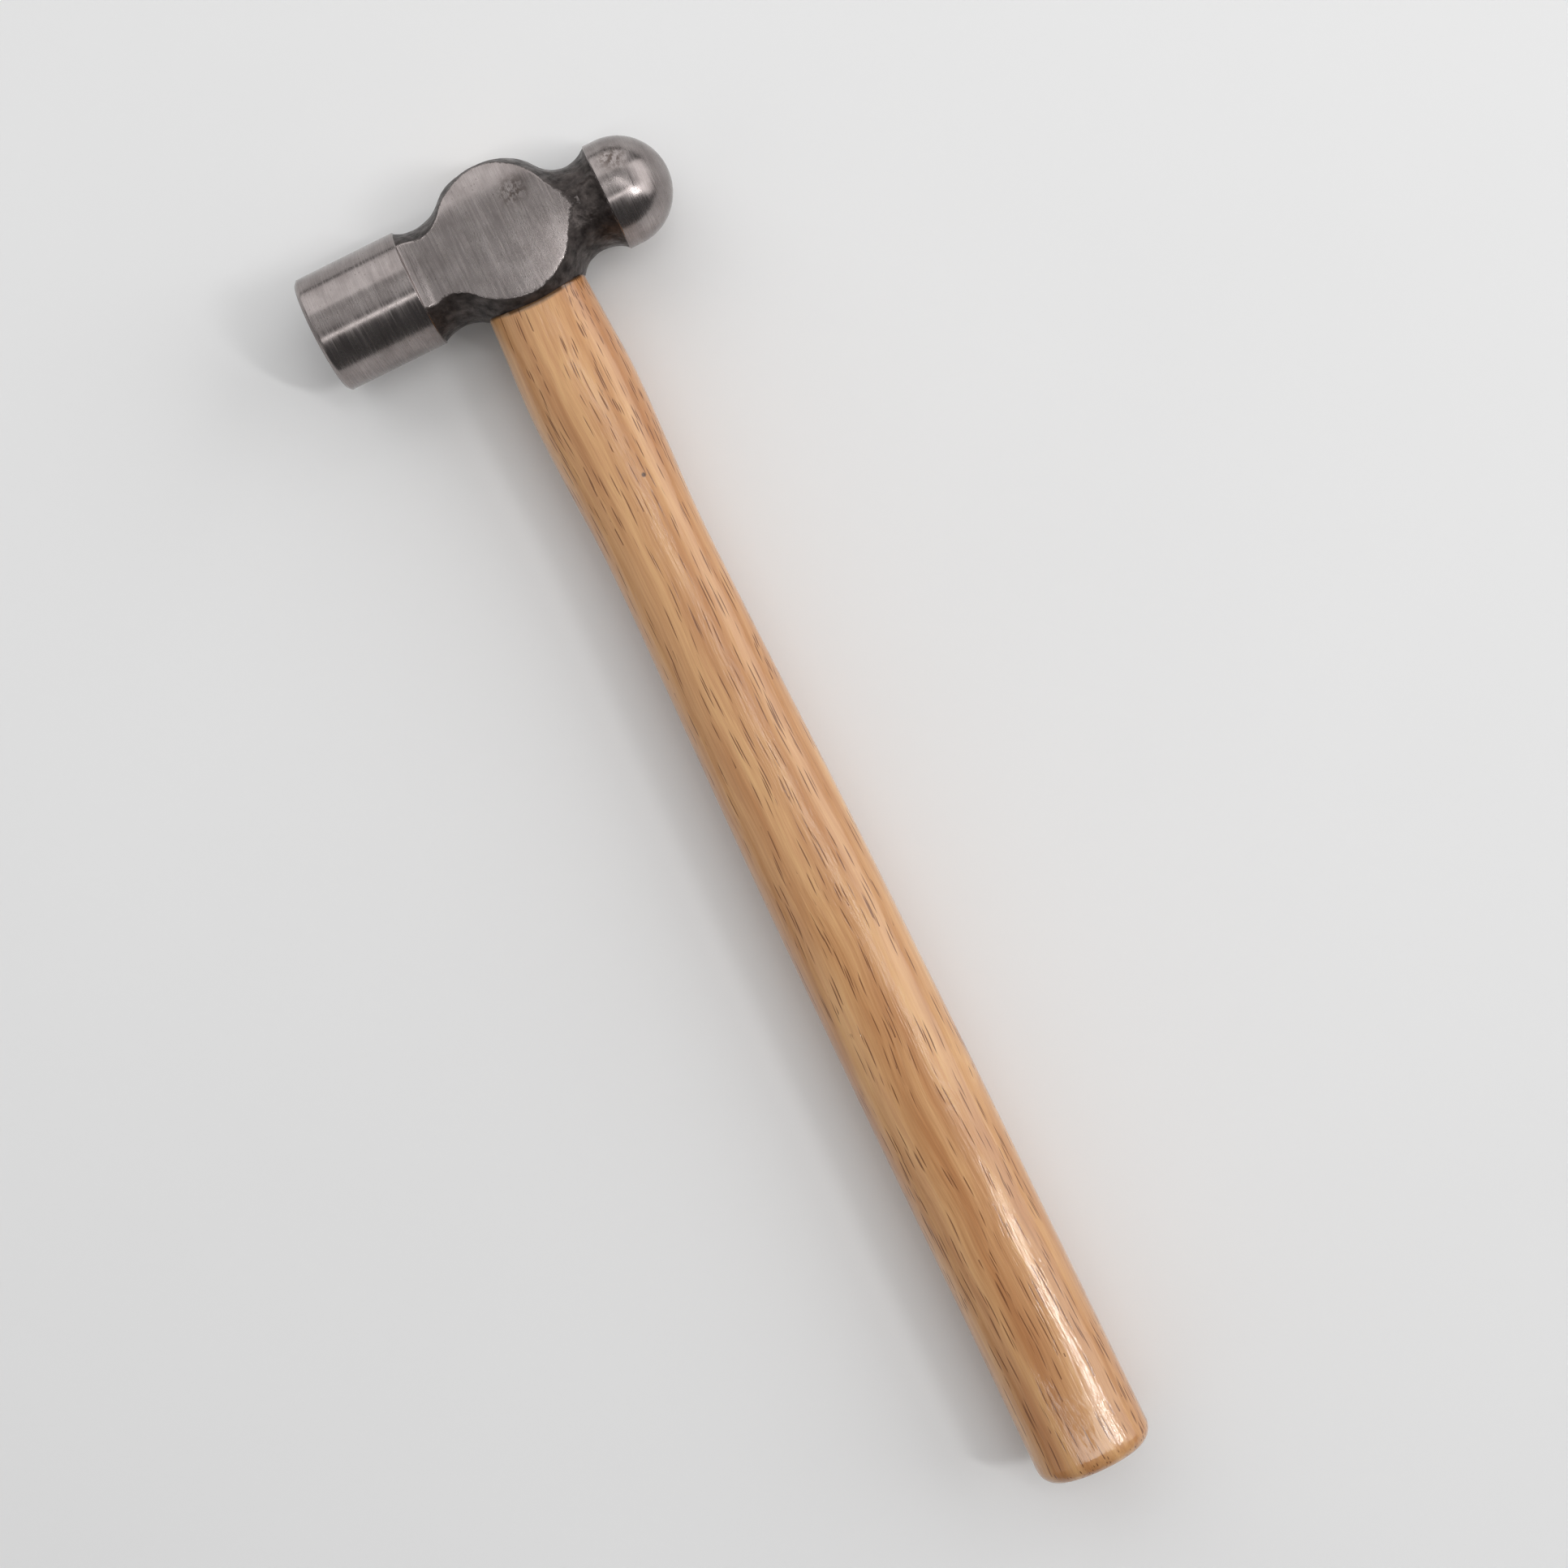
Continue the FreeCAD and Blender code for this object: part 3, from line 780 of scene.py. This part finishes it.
# %% Wood: grain
wood, tree = new_material("lacquered_hevea")
place = add(tree, "TexCoord").outputs["Object"]
spot = add(tree, "Mapping", {"Vector": place, "Location": -HEAD / MM, "Scale": (1 / MM, 1 / MM, 1 / MM)})
spot = spot.outputs["Vector"]
wander_place = add(tree, "Mapping", {"Vector": spot, "Scale": (1 / 40, 1 / 70, 1 / 40)})
wander = add(tree, "TexNoise", {"Vector": wander_place.outputs["Vector"], "Scale": 1.0, "Detail": 2.0})
shift = add(tree, "VectorMath", {0: wander.outputs["Color"], 1: (0.5, 0.5, 0.5)}, operation="SUBTRACT")
shift = add(tree, "VectorMath", {0: shift.outputs["Vector"], 1: (9.0, 0.0, 4.0), 2: spot},
            operation="MULTIPLY_ADD")
grain = shift.outputs["Vector"]

bands_place = add(tree, "Mapping", {"Vector": grain, "Scale": (1 / 5.0, 1 / 130, 1 / 5.0)})
bands = add(tree, "TexNoise", {
    "Vector": bands_place.outputs["Vector"], "Scale": 1.0, "Detail": 5.0, "Roughness": 0.6})
fibres_place = add(tree, "Mapping", {"Vector": grain, "Scale": (1 / 0.5, 1 / 22, 1 / 0.5)})
fibres = add(tree, "TexNoise", {
    "Vector": fibres_place.outputs["Vector"], "Scale": 1.0, "Detail": 4.0, "Roughness": 0.6})
blush_place = add(tree, "Mapping", {"Vector": grain, "Scale": (1 / 11, 1 / 45, 1 / 11)})
blush = add(tree, "TexNoise", {"Vector": blush_place.outputs["Vector"], "Scale": 1.0, "Detail": 3.0})

body = add(tree, "ValToRGB", {"Fac": bands.outputs["Fac"]})
body.color_ramp.elements[0].position = 0.34
body.color_ramp.elements[0].color = colour("#b67c49")
body.color_ramp.elements[1].position = 0.62
body.color_ramp.elements[1].color = colour("#daa772")
fibred = add(tree, "Mix", {"Factor": 0.32, 6: body.outputs["Color"], 7: fibres.outputs["Fac"]},
             data_type="RGBA", blend_type="OVERLAY")

print("wood nodes so far:", len(tree.nodes))

# %% [markdown]
# ## Pores, knot, and painted shade with dirt
#
# Pores are 0.4 mm wide and 5 to 12 mm long. Each is the core of a cell in a Voronoi pattern
# pulled long with the grain, and only a few of the cells are used, more of them where the
# wood is flushed. Two sets are laid over each other, so that they overlap as real ones do. One
# pin knot, a millimetre across, stands in the upper side. A painted shade, with some dirt and oil,
# darkens the last half millimetre against the steel.

# %% Wood: marks
PORE_WIDTH = 0.62                # of a cell, which is wider and longer than its pore
PORE_LENGTH = 16.0
PIN_KNOT = (5.2, -68.0, 10.2)
clusters = add(tree, "MapRange", {"Value": blush.outputs["Fac"], "From Min": 0.42, "From Max": 0.6})
dashes = []
for slide in ((0.0, 0.0, 0.0), (3.7, 1.3, 8.1)):
    dash_place = add(tree, "Mapping", {
        "Vector": grain,
        "Location": slide,
        "Scale": (1 / PORE_WIDTH, 1 / PORE_LENGTH, 1 / PORE_WIDTH),
    })
    cells = add(tree, "TexVoronoi", {"Vector": dash_place.outputs["Vector"], "Scale": 1.0})
    chance = add(tree, "SeparateColor", {"Color": cells.outputs["Color"]})
    weighed = add(tree, "Math", {
        0: clusters.outputs["Result"], 1: 0.42, 2: chance.outputs["Red"]}, operation="MULTIPLY_ADD")
    chosen = add(tree, "Math", {0: weighed.outputs["Value"], 1: 0.88}, operation="GREATER_THAN")
    core = add(tree, "MapRange", {"Value": cells.outputs["Distance"], "From Min": 0.34, "From Max": 0.22})
    dash = add(tree, "Math", {0: core.outputs["Result"], 1: chosen.outputs["Value"]},
               operation="MULTIPLY")
    dashes.append(dash.outputs["Value"])
pores = add(tree, "Math", {0: dashes[0], 1: dashes[1]}, operation="MAXIMUM").outputs["Value"]
flush = add(tree, "MapRange", {
    "Value": blush.outputs["Fac"], "From Min": 0.48, "From Max": 0.7, "To Max": 0.4})
warmed = add(tree, "Mix", {"Factor": flush.outputs["Result"], 6: fibred.outputs[2], 7: "#b0723f"},
             data_type="RGBA")
pore_share = add(tree, "Math", {0: pores, 1: 0.85}, operation="MULTIPLY")
pored = add(tree, "Mix", {
    "Factor": pore_share.outputs["Value"], 6: warmed.outputs[2], 7: "#6f3d16"}, data_type="RGBA")
knot_place = add(tree, "VectorMath", {0: spot, 1: PIN_KNOT}, operation="DISTANCE")
knot = add(tree, "MapRange", {
    "Value": knot_place.outputs["Value"], "From Min": 0.75, "From Max": 0.4, "To Max": 0.9})
knotted = add(tree, "Mix", {"Factor": knot.outputs["Result"], 6: pored.outputs[2], 7: "#4a2f22"},
              data_type="RGBA")
below_head = add(tree, "Attribute", attribute_name="below_head").outputs["Fac"]
# Painted shade, with some dirt: the wood darkens towards #3a2c21 within a millimetre of the steel.
dirt_and_corner_shade = add(tree, "MapRange", {
    "Value": below_head, "From Min": 0.9, "From Max": 0.2, "To Max": 0.75})
dirt_and_shade_tinted = add(tree, "Mix", {"Factor": dirt_and_corner_shade.outputs["Result"], 6: knotted.outputs[2], 7: "#3a2c21"},
            data_type="RGBA")
print("wood nodes so far:", len(tree.nodes))

# %% [markdown]
# ## Lacquer over the grain
#
# A thin clear lacquer lies over the wood. It sinks over the fibres and the pores, and it has
# dried with a slight ripple along the grain, so its highlight is broken into streaks. The
# heights are in millimetres. The lacquer is the shader's coat, glossier than the wood below.

# %% Wood: lacquer and relief
FIBRE_HEIGHT = 0.045
BAND_HEIGHT = 0.06
RIPPLE_HEIGHT = 0.09
PORE_DEPTH = -0.012
RIPPLE_WIDTH = 0.8
RIPPLE_LENGTH = 9.0
fibre_relief = add(tree, "Math", {0: fibres.outputs["Fac"], 1: FIBRE_HEIGHT}, operation="MULTIPLY")
pore_relief = add(tree, "Math", {0: pores, 1: PORE_DEPTH, 2: fibre_relief.outputs["Value"]},
                  operation="MULTIPLY_ADD")
band_relief = add(tree, "Math", {
    0: bands.outputs["Fac"], 1: BAND_HEIGHT, 2: pore_relief.outputs["Value"]},
    operation="MULTIPLY_ADD")
ripple_place = add(tree, "Mapping", {
    "Vector": grain, "Scale": (1 / RIPPLE_WIDTH, 1 / RIPPLE_LENGTH, 1 / RIPPLE_WIDTH)})
ripple = add(tree, "TexNoise", {
    "Vector": ripple_place.outputs["Vector"], "Scale": 1.0, "Detail": 2.0})
wood_relief = add(tree, "Math", {
    0: ripple.outputs["Fac"], 1: RIPPLE_HEIGHT, 2: band_relief.outputs["Value"]},
    operation="MULTIPLY_ADD")
wood_bump = add(tree, "Bump", {
    "Height": wood_relief.outputs["Value"], "Distance": MM, "Strength": 1.0})
wood_rough = add(tree, "MapRange", {"Value": pores, "To Min": 0.42, "To Max": 0.65})
wood_shader = add(tree, "BsdfPrincipled", {
    "Base Color": dirt_and_shade_tinted.outputs[2],
    "Roughness": wood_rough.outputs["Result"],
    "IOR": 1.5,
    "Coat Weight": 0.9,
    "Coat Roughness": 0.06,
    "Coat IOR": 1.5,
    "Normal": wood_bump.outputs["Normal"],
    "Coat Normal": wood_bump.outputs["Normal"],
})
add(tree, "OutputMaterial", {"Surface": wood_shader.outputs["BSDF"]})
handle.data.materials.clear()
handle.data.materials.append(wood)
print("wood nodes:", len(tree.nodes))

# %% [markdown]
# ## The wedges
#
# A slip of the same pale wood spreads the tenon along the eye, and two small steel wedges
# spread it across. They are seen only from the top of the head, sawn off and filed level. The
# wood has no lacquer there, so it is dull and shows its end grain as small round tubes.

# %% Wedge wood
wedge_wood, tree = new_material("bare_sawn_hevea")
place = add(tree, "TexCoord").outputs["Object"]
TUBE = 0.5 * MM
TUBE_LENGTH = 12 * MM
end_grain = add(tree, "Mapping", {"Vector": place, "Scale": (1 / TUBE, 1 / TUBE_LENGTH, 1 / TUBE)})
tubes = add(tree, "TexVoronoi", {"Vector": end_grain.outputs["Vector"], "Scale": 1.0})
rings = add(tree, "TexNoise", {"Vector": end_grain.outputs["Vector"], "Scale": 0.35, "Detail": 4.0})
tone = add(tree, "ValToRGB", {"Fac": rings.outputs["Fac"]})
tone.color_ramp.elements[0].position = 0.35
tone.color_ramp.elements[0].color = colour("#a97f56")
tone.color_ramp.elements[1].position = 0.65
tone.color_ramp.elements[1].color = colour("#cda77c")
tube = add(tree, "MapRange", {
    "Value": tubes.outputs["Distance"], "From Min": 0.3, "From Max": 0.15, "To Max": 0.55})
sawn = add(tree, "Mix", {"Factor": tube.outputs["Result"], 6: tone.outputs["Color"], 7: "#6d4a2c"},
           data_type="RGBA")
sawn_bump = add(tree, "Bump", {
    "Height": rings.outputs["Fac"], "Distance": 0.1 * MM, "Strength": 1.0})
sawn_shader = add(tree, "BsdfPrincipled", {
    "Base Color": sawn.outputs[2],
    "Roughness": 0.75,
    "IOR": 1.5,
    "Normal": sawn_bump.outputs["Normal"],
})
add(tree, "OutputMaterial", {"Surface": sawn_shader.outputs["BSDF"]})
print("wedge wood nodes:", len(tree.nodes))

# %% [markdown]
# ## Wedge steel
#
# The steel wedges are cut from mild plate. They are dull and lightly rusted, with fine file
# marks where their ends were dressed. The wedges come from the CAD model as they are, so they
# only get their finishes, by their material slots.

# %% Wedge steel
wedge_steel, tree = new_material("dull_cut_mild_steel")
place = add(tree, "TexCoord").outputs["Object"]
spot = add(tree, "Mapping", {"Vector": place, "Scale": (1 / MM, 1 / MM, 1 / MM)}).outputs["Vector"]
patina = add(tree, "TexNoise", {"Vector": spot, "Scale": 1 / 1.5, "Detail": 6.0, "Roughness": 0.65})
file_place = add(tree, "Mapping", {"Vector": spot, "Scale": (1 / 4, 1 / 0.3, 1 / 0.3)})
file_marks = add(tree, "TexNoise", {"Vector": file_place.outputs["Vector"], "Scale": 1.0, "Detail": 2.0})
patina_tint = add(tree, "ValToRGB", {"Fac": patina.outputs["Fac"]})
patina_tint.color_ramp.elements[0].position = 0.38
patina_tint.color_ramp.elements[0].color = colour("#6a564a")
patina_tint.color_ramp.elements[1].position = 0.6
patina_tint.color_ramp.elements[1].color = colour("#9c9692")
patina_rough = add(tree, "MapRange", {
    "Value": patina.outputs["Fac"],
    "From Min": 0.3, "From Max": 0.7, "To Min": 0.65, "To Max": 0.38})
patina_bump = add(tree, "Bump", {
    "Height": file_marks.outputs["Fac"], "Distance": 0.05 * MM, "Strength": 1.0})
patina_shader = add(tree, "BsdfPrincipled", {
    "Base Color": patina_tint.outputs["Color"],
    "Metallic": 1.0,
    "Roughness": patina_rough.outputs["Result"],
    "Normal": patina_bump.outputs["Normal"],
})
add(tree, "OutputMaterial", {"Surface": patina_shader.outputs["BSDF"]})

finishes = {"wood_wedge": wedge_wood, "steel_wedge_1": wedge_steel, "steel_wedge_2": wedge_steel}
for name, finish in finishes.items():
    for slot in frame["nodes"][name].material_slots:
        slot.material = finish
print("wedges finished:", ", ".join(finishes))

# %% [markdown]
# ## Table
#
# The hammer lies on a plain pale sheet of matt paper, very slightly mottled. The cylinder of
# the head touches it, and the thinner handle hangs a few millimetres above it.

# %% Table
FLOOR = min(handle_low[2], head_low[2])
HALF = 3.0                       # metres from its middle to an edge
corners = [(-HALF, -HALF, FLOOR), (HALF, -HALF, FLOOR), (HALF, HALF, FLOOR), (-HALF, HALF, FLOOR)]
floor = new_piece("table", corners, [(0, 1, 2, 3)])
paper, tree = new_material("pale_matt_paper")
place = add(tree, "TexCoord").outputs["Object"]
mottle = add(tree, "TexNoise", {"Vector": place, "Scale": 1 / 0.2, "Detail": 3.0})
paper_tint = add(tree, "ValToRGB", {"Fac": mottle.outputs["Fac"]})
paper_tint.color_ramp.elements[0].color = colour("#eaeaea")
paper_tint.color_ramp.elements[1].color = colour("#f0f0f0")
paper_shader = add(tree, "BsdfPrincipled", {"Base Color": paper_tint.outputs["Color"], "Roughness": 0.9})
add(tree, "OutputMaterial", {"Surface": paper_shader.outputs["BSDF"]})
floor.data.materials.append(paper)
floor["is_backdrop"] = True
print("table height, mm:", round(FLOOR / MM, 2))

# %% [markdown]
# ## World and lights
#
# Steel shows what stands around it, so the lights matter more than its own colour. A wide
# panel stands behind the head and gives the bright upper flank of the cylinder, and a dimmer
# one hangs overhead. A narrow strip, very far up and towards the butt, draws the thin
# highlight along the cylinder. Two slanted strips on the ball's side draw the one along the
# handle, strongest at the butt. Two side panels light the wood, the right one more than
# the left. No panel stands low at the butt's side, so the lower flank of the cylinder stays dark.

# %% World and lights
world = bpy.data.worlds.new("studio")
world.use_nodes = True
world.node_tree.nodes["Background"].inputs["Color"].default_value = colour("#ffffff")
world.node_tree.nodes["Background"].inputs["Strength"].default_value = 0.1
bpy.context.scene.world = world
bpy.context.scene.view_settings.view_transform = "Standard"


def soft_light(name, place, along, size, radiance):
    """A rectangular soft light that faces the hammer. Its first side lies along a direction."""
    data = bpy.data.lights.new(name, "AREA")
    data.shape = "RECTANGLE"
    data.size, data.size_y = size
    data.energy = radiance * math.pi * size[0] * size[1]
    away = (Vector(place) - Vector((HEAD.x, 0, 0))).normalized()
    side = (Vector(along) - away * away.dot(Vector(along))).normalized()
    turn = Matrix((side, away.cross(side), away)).transposed()
    light = bpy.data.objects.new(name, data)
    light.matrix_world = Matrix.Translation(place) @ turn.to_4x4()
    light.visible_camera = False
    bpy.context.collection.objects.link(light)


ALONG_HEAD = (1, 0, 0)
ALONG_HANDLE = (0, 1, 0)
SLANTED = (1.0, -1.25, 0)
soft_light("back_panel", (0.0, 1.7, 1.0), ALONG_HEAD, (3.2, 1.7), 1.15)
soft_light("top_panel", (0.0, 0.55, 1.65), ALONG_HEAD, (2.8, 1.35), 0.46)
soft_light("head_strip", (0.8, -4.21, 12.0), ALONG_HEAD, (13.6, 0.8), 5.0)
soft_light("handle_strip", (0.55, 0.1, 1.5), SLANTED, (1.2, 0.1), 7.0)
soft_light("butt_strip", (1.145, -0.64, 1.5), SLANTED, (0.46, 0.1), 42.0)
soft_light("right_panel", (2.0, 0.1, 1.0), ALONG_HANDLE, (2.6, 1.4), 2.0)
soft_light("left_panel", (-1.9, 0.1, 1.2), ALONG_HANDLE, (2.4, 1.3), 0.45)

# %% [markdown]
# ## Size of the dressed hammer
#
# The dressed hammer has to stay as large as the CAD model, so both boxes are printed side by side.

# %% Sizes
visual_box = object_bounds()
for axis in range(3):
    cad_side = (cad_box[1][axis] - cad_box[0][axis]) / MM
    visual_side = (visual_box[1][axis] - visual_box[0][axis]) / MM
    print("xyz"[axis], "CAD", round(cad_side, 2), "visual", round(visual_side, 2))
